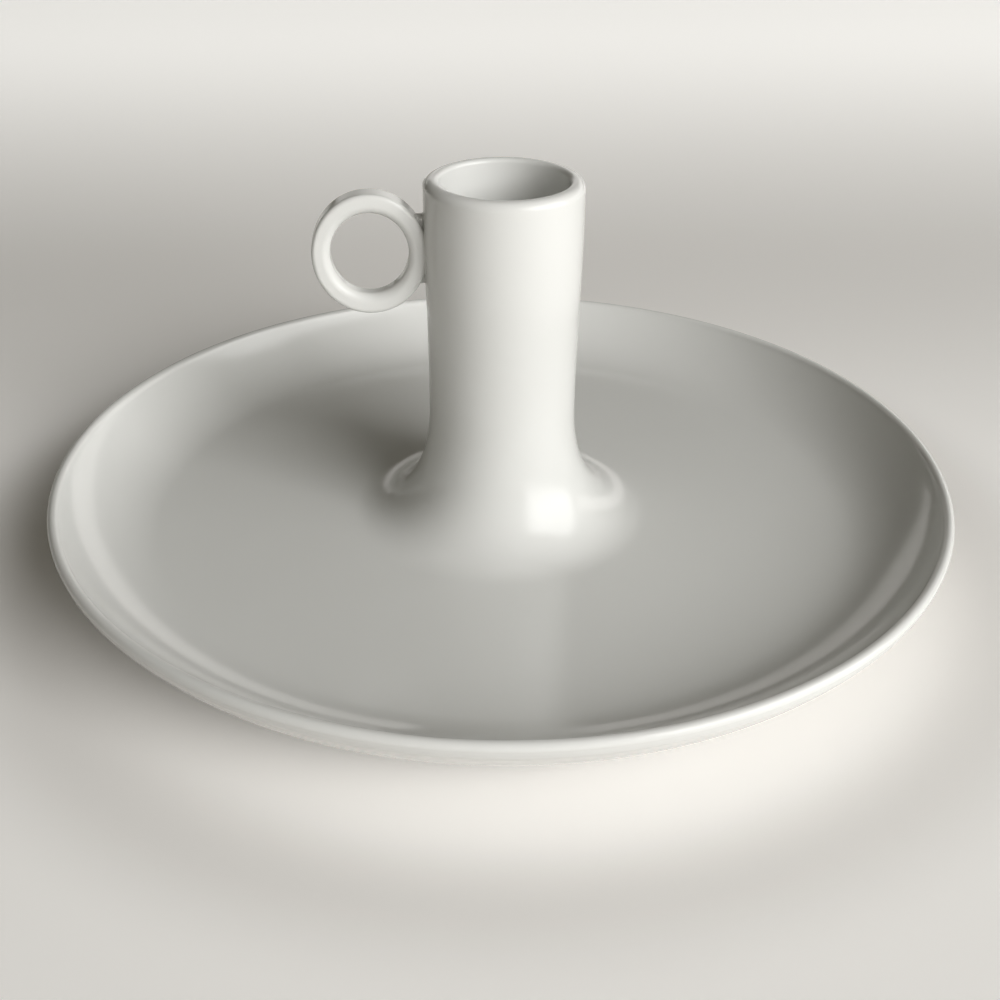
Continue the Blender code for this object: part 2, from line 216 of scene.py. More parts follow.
class GlazeLook(bpy.types.PropertyGroup):
    """Colours and finish of the fired clay, and the shade painted into the notches beside the ring."""

    glaze: colour("Glaze", (0.835, 0.853, 0.823), "Colour of the glaze over the clay")
    pooled: colour("Pooled glaze", (0.795, 0.825, 0.788), "Colour where the glaze pools")
    thin: colour("Thin glaze", (0.86, 0.855, 0.825), "Colour where the glaze runs thin over an edge")
    bare: colour("Bare clay", (0.66, 0.63, 0.58), "Colour of the unglazed foot")
    # Painted shade: the notch colour stands for the shade that falls deep in the notches beside the ring.
    notch: colour("Notch", (0.22, 0.21, 0.18), "Colour of the shaded slip in the notches beside the ring")
    slip: colour("Slip", (0.74, 0.73, 0.70), "Colour of the fired slip inside the foot")
    roughness: amount("Roughness", 0.035, "Roughness of the glaze", 1.0)
    mirroring: amount("Mirroring", 1.78, "Refractive index of the glaze: the higher, the more it mirrors")
    undulation: length("Undulation", 0.00012, "How far the glaze runs out of true")
    undulation_size: amount("Undulation count", 42.0, "Waves of the glaze in a metre", 1000.0)


class StageLook(bpy.types.PropertyGroup):
    """Table, lamps and camera. Ways round the holder are angles from -Y towards +X."""

    table: colour("Table", (0.92, 0.895, 0.87), "Colour of the table")
    glow: colour("Glow", (0.93, 0.925, 0.90), "Colour of the paleness that the table is seen with")
    far_glow: amount("Far glow", 0.53, "How much paler the far table looks", 5.0)
    far_start: length("Far start", 0.07, "Distance behind the holder at which the table starts to pale")
    far_end: length("Far end", 0.50, "Distance behind the holder at which it is palest")
    open_glow: amount("Open glow", 0.19, "How much paler the table looks away from the dish", 5.0)
    open_start: length("Open start", 0.094, "Distance from the axis at which it starts")
    open_end: length("Open end", 0.125, "Distance from the axis at which it is full")
    open_gone: length("Open gone", 0.19, "Distance behind the axis at which it is gone")
    # Painted light: a pool of light on the table close in front of the dish, the light that the dish throws
    # onto it.
    near_painted_light: amount("Near glow", 0.19, "How much paler the table looks close to the dish, in front", 5.0)
    near_start: length("Near start", 0.088, "Distance from the axis at which it starts to fade")
    near_end: length("Near end", 0.108, "Distance from the axis at which it is gone")
    near_azimuth: angle("Near azimuth", 5.0, "Way to where it is palest")
    near_spread: angle("Near spread", 100.0, "How far round the dish it fades to nothing on either side")
    room: colour("Room", (1.0, 0.94, 0.76), "Colour of the dim room")
    room_strength: amount("Room strength", 0.09, "Strength of its light")
    wall: colour("Wall", (1.0, 0.97, 0.93), "Colour of the pale strip of wall far behind")
    wall_strength: amount("Wall strength", 1.25, "Strength of its light")
    wall_low: angle("Wall foot", 5.0, "Height of the strip's lower edge")
    wall_top: angle("Wall top", 18.5, "Height of its upper edge")
    wall_drop: angle("Wall drop", 9.0, "How far that edge comes down towards the left end")
    wall_start: angle("Wall start", 100.0, "Way to the strip's right end")
    wall_end: angle("Wall end", 203.0, "Way to its left end")
    wall_soft: angle("Wall softness", 0.08, "How softly the strip fades at its edges")
    window: colour("Window", (1.0, 1.0, 0.985), "Colour of the light from the window")
    window_strength: amount("Window strength", 1.35, "Strength of its soft light on the holder")
    window_glare: amount("Window glare", 3.4, "Strength of the window as the glaze mirrors it")
    window_soft: angle("Window softness", 6.0, "How softly it fades at its edges")
    window_start: angle("Window start", 31.0, "Way to the window's left side")
    window_end: angle("Window end", 92.0, "Way to its right side")
    window_lamp: angle("Window lamp", 44.0, "Way to the lamp that shines for it")
    window_low: angle("Window sill", 2.0, "Height of the window's sill")
    window_high: angle("Window head", 48.0, "Height of its head")
    sun_power: amount("Sun power", 28.3, "Power in watts of the low sun in the window", 1000.0)
    sun_azimuth: angle("Sun azimuth", 40.0, "Way to that light")
    sun_elevation: angle("Sun elevation", 26.0, "Height of that light")
    lamp_distance: length("Lamp distance", 2.0, "Distance of both lights from the holder")
    sun_width: length("Sun width", 1.27, "Width of that light")
    sun_height: length("Sun height", 0.91, "Height of that light")
    camera_distance: length("Camera distance", 0.25286, "Level distance of the camera from the axis")
    camera_height: length("Camera height", 0.15532, "Height of the camera above the table")
    camera_azimuth: angle("Camera azimuth", 4.3, "How far the camera has gone round from -Y towards -X")
    camera_pitch: angle("Camera pitch", 30.167, "How far the camera looks down")
    camera_roll: angle("Camera roll", 0.592, "How far the camera is rolled")
    camera_lens: amount("Lens", 50.4, "Focal length in millimetres on a 36 mm sensor", 500.0)
    camera_shift: FloatProperty(name="Shift", description="Sideways shift of the picture", default=-0.00103)


def arc(centre, radius, start, end, steps):
    """Points of a circular arc in the (radius, height) plane, both ends included."""
    turns = [start + (end - start) * step / steps for step in range(steps + 1)]
    return [(centre[0] + radius * math.cos(turn), centre[1] + radius * math.sin(turn)) for turn in turns]


def rounded(corners, steps=6):
    """A line through (radius, height, rounding) corners, each turned on an arc of its own rounding."""
    points = [corners[0][:2]]
    for before, corner, after in zip(corners, corners[1:], corners[2:]):
        here = Vector(corner[:2])
        back = Vector(before[:2]) - here
        ahead = Vector(after[:2]) - here
        if corner[2] <= 0.0:
            points.append(tuple(here))
            continue
        half = back.angle(ahead) / 2
        reach = min(corner[2] / math.tan(half), TURNED_SHARE * min(back.length, ahead.length))
        radius = reach * math.tan(half)
        middle = here + (back.normalized() + ahead.normalized()).normalized() * radius / math.sin(half)
        first = here + back.normalized() * reach - middle
        last = here + ahead.normalized() * reach - middle
        start = math.atan2(first.y, first.x)
        turn = (math.atan2(last.y, last.x) - start + math.pi) % math.tau - math.pi
        points += arc(middle, radius, start, start + turn, steps)
    points.append(corners[-1][:2])
    return points


def divided(points, longest):
    """The same line with its long straight runs divided, and repeated points left out."""
    kept = [tuple(points[0])]
    for point in points[1:]:
        gap = math.dist(point, kept[-1])
        if gap < 2 * FINE_MERGE:
            continue
        parts = max(1, math.ceil(gap / longest))
        last = kept[-1]
        for part in range(1, parts + 1):
            share = part / parts
            kept.append((last[0] + (point[0] - last[0]) * share, last[1] + (point[1] - last[1]) * share))
    return kept


def wall_bends(sizes):
    """The two bends of the dish wall, each as (centre, radius, first slope, last slope)."""
    lip, bend, slope = sizes.lip_thickness / 2, sizes.tight_bend, sizes.lip_slope
    end_r = sizes.diameter / 2 - lip - lip * math.sin(slope)
    end_z = sizes.rim_height - lip + lip * math.cos(slope)
    spread = sizes.wide_bend - bend
    climb = end_z - sizes.floor_height
    change = math.acos((sizes.wide_bend - bend * math.cos(slope) - climb) / spread)
    tight = (end_r - bend * math.sin(slope), end_z + bend * math.cos(slope))
    wide = (tight[0] - spread * math.sin(change), tight[1] + spread * math.cos(change))
    return (wide, sizes.wide_bend, 0.0, change), (tight, bend, change, slope)


def wall_line(sizes, outside):
    """Points of the dish wall from its root to its lip, on the inside or the outside."""
    points = []
    for (centre, radius, first, last), steps in zip(wall_bends(sizes), BEND_STEPS):
        for step in range(steps + 1):
            slope = first + (last - first) * step / steps
            share = slope / sizes.lip_slope
            wall = sizes.root_thickness + (sizes.lip_thickness - sizes.root_thickness) * share
            reach = radius + (wall if outside else 0.0)
            points.append((centre[0] + reach * math.sin(slope), centre[1] - reach * math.cos(slope)))
    return points


def dish_section(sizes):
    """Closed section of the dish, from the seam with the skirt over the lip and back under the foot."""
    lip, vent, foot = sizes.lip_thickness / 2, sizes.vent_diameter / 2, sizes.foot_diameter / 2
    land = foot - sizes.foot_land
    ledge = COLUMN_LOW.z - JOINT_GAP
    seam = (sizes.seam_radius, sizes.floor_height)
    turn = QUARTER + sizes.lip_slope
    outer = wall_line(sizes, True)[::-1]
    lip_line = arc((sizes.diameter / 2 - lip, sizes.rim_height - lip), lip, turn, turn - math.pi, LIP_STEPS)
    under = [
        (*outer[-1], 0.0),
        (foot + sizes.foot_taper, sizes.foot_height, sizes.foot_fillet),
        (foot, 0.0, sizes.foot_edge),
        (land, 0.0, sizes.foot_edge),
        (land - sizes.foot_taper, sizes.foot_height, sizes.foot_fillet),
        (vent, sizes.foot_height, sizes.vent_rounding),
        (vent, ledge, 0.0),
        (sizes.seam_radius, ledge, 0.0),
        (*seam, 0.0),
    ]
    line = [seam] + wall_line(sizes, False) + lip_line + outer
    return divided(line + rounded(under)[1:], LONG_RUN)


def swell_radius(sizes, height):
    """Radius of the column at a height above its neck: it swells, and then turns upright."""
    neck, turn = sizes.neck_diameter / 2, sizes.swell_turn
    share = (height - neck_height(sizes)) / sizes.swell_height
    landing = (1 - turn**2) / turn
    early = max(0.0, min(share, turn))
    late = max(0.0, min(share - turn, landing))
    return neck + (sizes.head_diameter / 2 - neck) * (early**2 + 2 * turn * late - turn / landing * late**2)


def neck_height(sizes):
    """Height of the neck, where the skirt ends."""
    return bpy.context.scene.dish_sizes.floor_height + sizes.flare_height


def flare_point(sizes, share, inset=0.0):
    """A point of the skirt, one smooth curve from the upright neck (share 0) to the level floor."""
    rest = 1.0 - share
    upper = sizes.flare_height * (1.0 - sizes.top_pull)
    outer = sizes.flare_reach * (1.0 - sizes.foot_pull)
    across = 3.0 * rest * share**2 * outer + share**3 * sizes.flare_reach
    up = rest**3 * sizes.flare_height + 3.0 * rest**2 * share * upper
    run = 3.0 * share * (2.0 - 3.0 * share) * outer + 3.0 * share**2 * sizes.flare_reach
    fall = 3.0 * rest * (1.0 - 3.0 * share) * upper - 3.0 * rest**2 * sizes.flare_height
    steep = math.hypot(run, fall)
    floor = neck_height(sizes) - sizes.flare_height
    return sizes.neck_diameter / 2 + across + inset * fall / steep, floor + up - inset * run / steep


def flare_line(sizes, inset, steps):
    """Points of the skirt from the foot up to the neck."""
    return [flare_point(sizes, 1.0 - step / steps, inset) for step in range(steps + 1)]


def column_section(sizes):
    """Closed section of the column, from the seam up over the mouth, down the socket and the hollow."""
    head = sizes.head_diameter / 2
    neck = neck_height(sizes)
    mouth = sizes.mouth_height
    outside = flare_line(sizes, 0.0, SKIRT_STEPS)
    top = mouth - sizes.outer_edge
    for step in range(1, SHAFT_STEPS + 1):
        height = neck + (top - neck) * step / SHAFT_STEPS
        outside.append((swell_radius(sizes, height), height))
    inner = sizes.inner_edge
    outside += arc((head - sizes.outer_edge, top), sizes.outer_edge, 0.0, QUARTER, MOUTH_STEPS[0])
    outside += arc((sizes.socket_mouth / 2 + inner, mouth - inner), inner, QUARTER, math.pi, MOUTH_STEPS[1])
    inside = flare_line(sizes, sizes.wall, HOLLOW_STEPS)[::-1]
    inside = [point for point in inside if point[1] > sizes.skirt_bottom]
    under = [
        (sizes.socket_seat / 2, sizes.shoulder_height),
        (sizes.neck_diameter / 2 - sizes.wall, sizes.shoulder_height),
        *inside,
        (inside[-1][0] + HEEL, sizes.skirt_bottom),
        (outside[0][0], sizes.skirt_bottom),
        outside[0],
    ]
    return divided(outside + under, LONG_RUN)


def disc_section():
    """Open section of the socket floor, from the axis out over its edge and back to the axis."""
    radius, low, high = DISC_HIGH.x, DISC_LOW.z, DISC_HIGH.z
    corners = [(0.0, high, 0.0), (radius, high, DISC_EDGE), (radius, low, DISC_EDGE), (0.0, low, 0.0)]
    return divided(rounded(corners), DISC_RUN)


def bead_section(sizes):
    """Closed section of the slip bead in the corner between the skirt's inside and the dish."""
    shares = [BEAD_START + BEAD_SPAN * step / BEAD_STEPS for step in range(BEAD_STEPS + 1)]
    line = [flare_point(sizes, share, sizes.wall + JOINT_GAP) for share in shares]
    line = [point for point in line if point[1] > sizes.skirt_bottom]
    toe = (line[0][0] - BEAD_TOE, sizes.skirt_bottom)
    heel = (line[-1][0] + HEEL, sizes.skirt_bottom)
    return divided(line + [heel, toe, line[0]], BEAD_RUN)


class NodeMaker:
    """Adds nodes to a tree and joins them, so that a formula reads from left to right."""

    def __init__(self, tree):
        self.tree = tree
        self.made = 0

    def add(self, kind, values=None, **settings):
        """A node of this kind, with its settings, and its inputs given by name or number."""
        node = self.tree.nodes.new(kind)
        node.location = (220.0 * (self.made // 4), -260.0 * (self.made % 4))
        self.made += 1
        for name, value in settings.items():
            setattr(node, name, value)
        for name, value in (values or {}).items():
            self.feed(node.inputs[name], value)
        return node

    def feed(self, socket, value):
        """Join an output to this input, or set its value."""
        if isinstance(value, bpy.types.NodeSocket):
            self.tree.links.new(value, socket)
        else:
            socket.default_value = value

    def maths(self, operation, *values):
        """The result of a sum on numbers."""
        return self.add("ShaderNodeMath", dict(enumerate(values)), operation=operation).outputs[0]

    def plus(self, *values):
        """The values added up, from left to right."""
        return reduce(lambda first, second: self.maths("ADD", first, second), values)

    def times(self, *values):
        """The values multiplied, from left to right."""
        return reduce(lambda first, second: self.maths("MULTIPLY", first, second), values)

    def minus(self, first, second):
        """The first value less the second."""
        return self.maths("SUBTRACT", first, second)

    def vector(self, operation, *values, output=0):
        """The result of a sum on vectors."""
        return self.add("ShaderNodeVectorMath", dict(enumerate(values)), operation=operation).outputs[output]

    def parts(self, vector):
        """The X, Y and Z of a vector."""
        return self.add("ShaderNodeSeparateXYZ", {0: vector}).outputs

    def joined(self, x, y, z):
        """A vector of X, Y and Z."""
        return self.add("ShaderNodeCombineXYZ", {0: x, 1: y, 2: z}).outputs[0]


def new_tree(name, values):
    """A tree with a named input for each value, its maker, and the sockets of its first and last nodes."""
    tree = bpy.data.node_groups.new(name, "GeometryNodeTree")
    for way in ("INPUT", "OUTPUT"):
        tree.interface.new_socket("Geometry", in_out=way, socket_type="NodeSocketGeometry")
    for title, value in values.items():
        kind = next(kind for held, kind in SOCKET_KINDS.items() if isinstance(value, held))
        tree.interface.new_socket(title, in_out="INPUT", socket_type="NodeSocket" + kind)
    maker = NodeMaker(tree)
    return tree, maker, maker.add("NodeGroupInput").outputs, maker.add("NodeGroupOutput").inputs


def finish_tree(maker, geometry, given, result):
    """End a tree: pushed out of true as glaze runs, smooth, realized and with its material."""
    place = maker.add("GeometryNodeInputPosition").outputs[0]
    waves = maker.add("ShaderNodeTexNoise", {"Vector": place, "Scale": given["Waves"], "Detail": 1.0})
    offset = maker.vector("SCALE", maker.vector("SUBTRACT", waves.outputs["Color"], (0.5, 0.5, 0.5)))
    lift = maker.add("ShaderNodeMapRange", {0: maker.parts(place)[2], 1: STILL_HEIGHT, 2: WAVY_HEIGHT})
    maker.feed(offset.node.inputs["Scale"], maker.times(lift.outputs[0], given["Undulation"]))
    waved = maker.add("GeometryNodeSetPosition", {"Geometry": geometry, "Offset": offset})
    smooth = maker.add("GeometryNodeSetShadeSmooth", {"Geometry": waved.outputs[0]})
    real = maker.add("GeometryNodeRealizeInstances", {"Geometry": smooth.outputs[0]})
    dressed = maker.add("GeometryNodeSetMaterial", {"Geometry": real.outputs[0]})
    maker.feed(dressed.inputs["Material"], given["Material"])
    maker.feed(result["Geometry"], dressed.outputs[0])


def wheel_tree(values):
    """The potter's wheel: each ring of a tube takes the radius and height of one point of the section."""
    name = "potters_wheel"
    if name in bpy.data.node_groups:
        return bpy.data.node_groups[name]
    tree, maker, given, result = new_tree(name, values)
    section = given["Geometry"]
    points = maker.add("GeometryNodeAttributeDomainSize", {0: section}).outputs["Point Count"]
    steps = maker.minus(points, 1.0)
    tube = maker.add(
        "GeometryNodeMeshCylinder",
        {"Vertices": given["Facets"], "Side Segments": steps, "Radius": 1.0, "Depth": 1.0},
        fill_type="NONE",
    )
    place = maker.add("GeometryNodeInputPosition").outputs[0]
    x, y, z = maker.parts(place)
    along = maker.times(maker.plus(z, 0.5), steps)
    number = maker.add("FunctionNodeFloatToInt", {0: along}, rounding_mode="ROUND").outputs[0]
    sample = maker.add(
        "GeometryNodeSampleIndex",
        {"Geometry": section, "Value": place, "Index": number},
        data_type="FLOAT_VECTOR",
        domain="POINT",
        clamp=True,
    )
    radius, _, height = maker.parts(sample.outputs[0])
    turned = maker.joined(maker.times(x, radius), maker.times(y, radius), height)
    mapped = maker.add(
        "GeometryNodeStoreNamedAttribute",
        {"Geometry": tube.outputs["Mesh"], "Name": "UVMap", "Value": tube.outputs["UV Map"]},
        data_type="FLOAT2",
        domain="CORNER",
    )
    moved = maker.add("GeometryNodeSetPosition", {"Geometry": mapped.outputs[0], "Position": turned})
    closed = maker.add("GeometryNodeMergeByDistance", {"Geometry": moved.outputs[0], "Distance": FINE_MERGE})
    finish_tree(maker, closed.outputs[0], given, result)
    return tree


def hypotenuse(maker, first, second):
    """Distance of a point from the origin, by its two coordinates."""
    squares = [maker.maths("POWER", value, 2.0) for value in (first, second)]
    return maker.maths("SQRT", maker.plus(*squares))


def rounded_box(maker, offset, half, edge):
    """Signed distance from a box with rounded edges."""
    beyond = maker.vector("SUBTRACT", maker.vector("ABSOLUTE", offset), half)
    outside = maker.vector("LENGTH", maker.vector("MAXIMUM", beyond, (0.0, 0.0, 0.0)), output="Value")
    x, y, z = maker.parts(beyond)
    inside = maker.maths("MINIMUM", maker.maths("MAXIMUM", x, maker.maths("MAXIMUM", y, z)), 0.0)
    return maker.minus(maker.plus(outside, inside), edge)


def band_field(maker, given, x, y, z):
    """Signed distance from the ring's band: a rectangle, rounded most on its inside, swept round an oval."""
    up = maker.maths("DIVIDE", maker.minus(z, given["Height"]), given["Ovality"])
    out = hypotenuse(maker, maker.plus(x, given["Reach"]), up)
    thick = maker.times(given["Band thickness"], 0.5)
    wide = maker.times(given["Band width"], 0.5)
    outward = maker.minus(out, maker.minus(given["Outer radius"], thick))
    inside = maker.maths("LESS_THAN", outward, 0.0)
    more = maker.minus(given["Inner edge"], given["Outer edge"])
    edge = maker.plus(given["Outer edge"], maker.times(inside, more))
    half = maker.joined(maker.minus(thick, edge), maker.minus(wide, edge), 0.0)
    return rounded_box(maker, maker.joined(outward, y, 0.0), half, edge)


def web_field(maker, given, x, y, z):
    """Signed distance from the slip that fills the notches between ring and column."""
    rise, fall, width = given["Web rise"], given["Web fall"], given["Web width"]
    middle = maker.plus(given["Height"], maker.times(maker.minus(rise, fall), 0.5))
    front = maker.plus(given["Head"], given["Web offset"])
    offset = maker.joined(maker.plus(x, front), y, maker.minus(z, middle))
    edge = maker.times(width, 0.3)
    wide = maker.minus(maker.times(width, 0.5), edge)
    tall = maker.minus(maker.times(maker.plus(rise, fall), 0.5), edge)
    return rounded_box(maker, offset, maker.joined(given["Blend"], wide, tall), edge)


def column_field(maker, given, x, y, z):
    """Signed distance from the column, whose radius swells from its neck to its head."""
    turn = given["Swell turn"]
    share = maker.maths("DIVIDE", maker.minus(z, given["Neck height"]), given["Swell"])
    landing = maker.maths("DIVIDE", maker.minus(1.0, maker.maths("POWER", turn, 2.0)), turn)
    early = maker.maths("MAXIMUM", maker.maths("MINIMUM", share, turn), 0.0)
    late = maker.maths("MAXIMUM", maker.maths("MINIMUM", maker.minus(share, turn), landing), 0.0)
    grown = maker.plus(maker.maths("POWER", early, 2.0), maker.times(turn, 2.0, late))
    bend = maker.times(maker.maths("DIVIDE", turn, landing), maker.maths("POWER", late, 2.0))
    swell = maker.times(maker.minus(grown, bend), maker.minus(given["Head"], given["Neck"]))
    return maker.minus(hypotenuse(maker, x, y), maker.plus(given["Neck"], swell))


def skin_tree(values):
    """The ring and its slip as one skin, grown over the column and trimmed inside the column's wall."""
    tree, maker, given, result = new_tree("ring_skin", values)
    place = maker.parts(maker.add("GeometryNodeInputPosition").outputs[0])
    column, band, web = (field(maker, given, *place) for field in (column_field, band_field, web_field))
    ring = maker.maths("SMOOTH_MIN", band, web, given["Blend"])
    lowered = maker.plus(column, given["Skin lift"])
    joined = maker.maths("SMOOTH_MIN", ring, lowered, given["Blend"])
    root = maker.times(maker.plus(column, given["Root depth"]), -1.0)
    density = maker.minus(1.0, maker.times(maker.maths("MAXIMUM", joined, root), SKIN_FALL))
    cells = {f"Resolution {axis}": given[f"Cells {axis}"] for axis in "XYZ"}
    box = {"Min": given["Low corner"], "Max": given["High corner"]}
    volume = maker.add("GeometryNodeVolumeCube", {"Density": density, **box, **cells})
    skin = maker.add("GeometryNodeVolumeToMesh", {"Volume": volume.outputs[0], "Threshold": 1.0})
    finish_tree(maker, skin.outputs[0], given, result)
    return tree


def lengths_of(group):
    """The numbers of a property group, by the names that the sidebar shows."""
    numbers = (entry for entry in group.bl_rna.properties if entry.type == "FLOAT")
    return {entry.name: getattr(group, entry.identifier) for entry in numbers}


def line_object(name, points):
    """An object that holds a section as a line of (radius, height) points in the XZ plane."""
    mesh = bpy.data.meshes.new(name)
    places = [(radius, 0.0, height) for radius, height in points]
    mesh.from_pydata(places, [(number, number + 1) for number in range(len(places) - 1)], [])
    item = bpy.data.objects.new(name, mesh)
    bpy.context.scene.collection.objects.link(item)
    return item


def shaped(item, tree, values):
    """Run a node tree on an object and keep its result as the object's plain mesh."""
    modifier = item.modifiers.new(tree.name, "NODES")
    modifier.node_group = tree
    for socket in tree.interface.items_tree:
        if socket.in_out == "INPUT" and socket.name in values:
            modifier[socket.identifier] = values[socket.name]
    view = bpy.context.evaluated_depsgraph_get()
    mesh = bpy.data.meshes.new_from_object(item.evaluated_get(view))
    item.modifiers.remove(modifier)
    old = item.data
    item.data = mesh
    bpy.data.meshes.remove(old)
    mesh.name = item.name
    point_outwards(mesh)
    return item


def point_outwards(mesh):
    """Merge what lies together and turn every face outwards."""
    bm = bmesh.new()
    bm.from_mesh(mesh)
    bmesh.ops.remove_doubles(bm, verts=bm.verts, dist=FINE_MERGE)
    bmesh.ops.dissolve_degenerate(bm, edges=bm.edges, dist=FINE_MERGE / 4)
    bmesh.ops.recalc_face_normals(bm, faces=bm.faces)
    bm.to_mesh(mesh)
    bm.free()
    mesh.shade_smooth()
    mesh.set_sharp_from_angle(angle=SHARP_ANGLE)


def seat(item, slot, *nodes):
    """Hand a finished piece over to the frame: it rides on the body and stands for these nodes."""
    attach(item, BODY)
    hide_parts(*nodes)


def new_material(name):
    """A new material, the maker of its nodes and its shader."""
    material = bpy.data.materials.new(name)
    material.use_nodes = True
    return material, NodeMaker(material.node_tree), material.node_tree.nodes["Principled BSDF"]


def mixed(maker, share, first, second):
    """A colour between two colours."""
    ends = [end if isinstance(end, bpy.types.NodeSocket) else (*end, 1.0) for end in (first, second)]
    return maker.add("ShaderNodeMix", {0: share, 6: ends[0], 7: ends[1]}, data_type="RGBA").outputs[2]


def ramp(maker, value, low, high):
    """How far a value has gone from low to high, held between 0 and 1 and eased."""
    ends = {0: value, 1: low, 2: high}
    return maker.add("ShaderNodeMapRange", ends, interpolation_type="SMOOTHSTEP").outputs[0]


def fading(maker, value, low, high):
    """1 up to the low value, easing down to 0 at the high one."""
    return maker.minus(1.0, ramp(maker, value, low, high))


def near(maker, value, middle, spread):
    """1 where a value is at the middle, falling to 0 at this spread on either side."""
    return fading(maker, maker.maths("ABSOLUTE", maker.minus(value, middle)), 0.0, spread)


def between(maker, value, low, high, soft):
    """1 where a value lies between two values, falling to 0 over a soft edge at each."""
    rise = ramp(maker, maker.minus(value, low), -soft, soft)
    return maker.times(rise, fading(maker, maker.minus(value, high), -soft, soft))


def clouds(maker, place, waves, detail):
    """A cloudy pattern with this many waves in a metre."""
    return maker.add("ShaderNodeTexNoise", {"Vector": place, "Scale": waves, "Detail": detail}).outputs[0]


def scaled_colour(shade, share):
    """A colour made darker or brighter by this share."""
    return tuple(part * share for part in shade)


def add_bump(maker, shader, height, distance):
    """Roughen a surface with a height that is counted in units of this distance."""
    bump = maker.add("ShaderNodeBump", {"Strength": 1.0, "Distance": distance, "Height": height})
    maker.feed(shader.inputs["Normal"], bump.outputs[0])


def glaze_material():
    """The white glaze: it pools in the hollows, thins over the edges and stops above the foot's land. Shade
    is painted into the notches beside the ring.
    """
    if GLAZE_SLOT in bpy.data.materials:
        return bpy.data.materials[GLAZE_SLOT]
    scene = bpy.context.scene
    look, dish, column, ring = scene.glaze_look, scene.dish_sizes, scene.column_sizes, scene.ring_sizes
    material, maker, shader = new_material(GLAZE_SLOT)
    place = maker.add("ShaderNodeTexCoord").outputs["Object"]
    x, y, z = maker.parts(place)
    level = maker.joined(x, y, 0.0)
    out = maker.vector("LENGTH", level, output="Value")
    cloud = clouds(maker, place, 26.0, 3.0)
    centred = maker.minus(cloud, 0.5)
    grain = clouds(maker, place, 900.0, 2.0)

    # The glaze pools round the skirt and in the bend of the wall: how far across, and how far up.
    across, up = 0.010, 0.006
    skirt_pool = near(maker, out, dish.seam_radius, across), near(maker, z, dish.floor_height, up)
    bend, across, up = 0.074, 0.012, 0.004
    wall_pool = near(maker, out, bend, across), near(maker, z, dish.floor_height, up)
    pool = maker.maths("MAXIMUM", maker.times(*skirt_pool), maker.times(*wall_pool))
    pool = maker.times(pool, maker.plus(0.5, cloud))

    # It runs thin over the lip and the mouth.
    lip_start, lip_full, lip_depth, mouth_depth = 0.086, 0.088, 0.0011, 0.0012
    lip = maker.times(near(maker, z, dish.rim_height, lip_depth), ramp(maker, out, lip_start, lip_full))
    mouth = near(maker, z, column.mouth_height, mouth_depth)
    thin = maker.times(maker.maths("MAXIMUM", lip, mouth), maker.plus(0.35, cloud))
    body = mixed(maker, maker.times(cloud, 0.30), look.glaze, look.pooled)
    body = mixed(maker, pool, body, look.pooled)
    body = mixed(maker, thin, body, look.thin)

    # Painted shade: the colour darkens deep in the notches above and below the join of ring and column,
    # where shade falls.
    notch_width, notch_start, notch_full, notch_reach = 0.0021, 0.0050, 0.0062, 0.0019
    notch_middle = -(column.head_diameter / 2 + 0.0006)
    away = maker.maths("ABSOLUTE", maker.minus(z, ring.centre_z))
    deep = maker.times(near(maker, y, 0.0, notch_width), ramp(maker, away, notch_start, notch_full))
    notch_painted_shade = maker.times(deep, near(maker, x, notch_middle, notch_reach), 1.6)
    body = mixed(maker, maker.maths("MINIMUM", notch_painted_shade, 1.0), body, look.notch)

    # The glaze ends in a wavering line above the foot's land. Below it the clay is bare and dull.
    line_height, line_waver, line_blur, bare_roughness = 0.0007, 0.0008, 0.00025, 0.75
    line = maker.plus(line_height, maker.times(centred, line_waver))
    coated = ramp(maker, z, line, maker.plus(line, line_blur))
    clay = mixed(maker, grain, look.bare, scaled_colour(look.bare, 0.86))
    maker.feed(shader.inputs["Base Color"], mixed(maker, coated, clay, body))
    dull = maker.plus(look.roughness, maker.times(centred, 0.03))
    rough = maker.plus(maker.times(coated, maker.minus(dull, bare_roughness)), bare_roughness)
    maker.feed(shader.inputs["Roughness"], rough)

    # Fine relief: the glaze's peel, the grit of the bare clay, and the blisters on the floor.
    peel_depth, grit_depth, floor_depth = 0.0000006, 0.00003, 0.0015
    grit = maker.times(grain, maker.minus(1.0, coated), grit_depth)
    height = maker.plus(maker.times(grain, peel_depth), grit)
    floor = near(maker, z, dish.floor_height, floor_depth)
    for middle, radius, rise in BLISTERS:
        off = maker.vector("SUBTRACT", level, (*middle, 0.0))
        blister = near(maker, maker.vector("LENGTH", off, output="Value"), 0.0, radius)
        height = maker.plus(height, maker.times(blister, floor, rise))
    add_bump(maker, shader, height, 1.0)
    shader.inputs["IOR"].default_value = look.mirroring
    material.diffuse_color = (*look.glaze, 1.0)
    return material


def slip_material():
    """Bare fired slip: matt, slightly uneven in colour, with the grain of a wiping finger."""
    look = bpy.context.scene.glaze_look
    material, maker, shader = new_material(SLIP_SLOT)
    place = maker.add("ShaderNodeTexCoord").outputs["Object"]
    cloud = clouds(maker, place, 140.0, 4.0)
    maker.feed(shader.inputs["Base Color"], mixed(maker, cloud, look.slip, look.bare))
    shader.inputs["Roughness"].default_value = 0.62
    add_bump(maker, shader, maker.plus(cloud, clouds(maker, place, 1500.0, 2.0)), 0.00006)
    material.diffuse_color = (*look.slip, 1.0)
    return material


def thrown(name, points, facets, material=None, waves=None):
    """A piece turned on the potter's wheel from its section, glazed unless it gets another material."""
    look = bpy.context.scene.glaze_look
    values = {
        "Facets": facets,
        "Undulation": waves or look.undulation,
        "Waves": look.undulation_size,
        "Material": material or glaze_material(),
    }
    return shaped(line_object(name, points), wheel_tree(values), values)


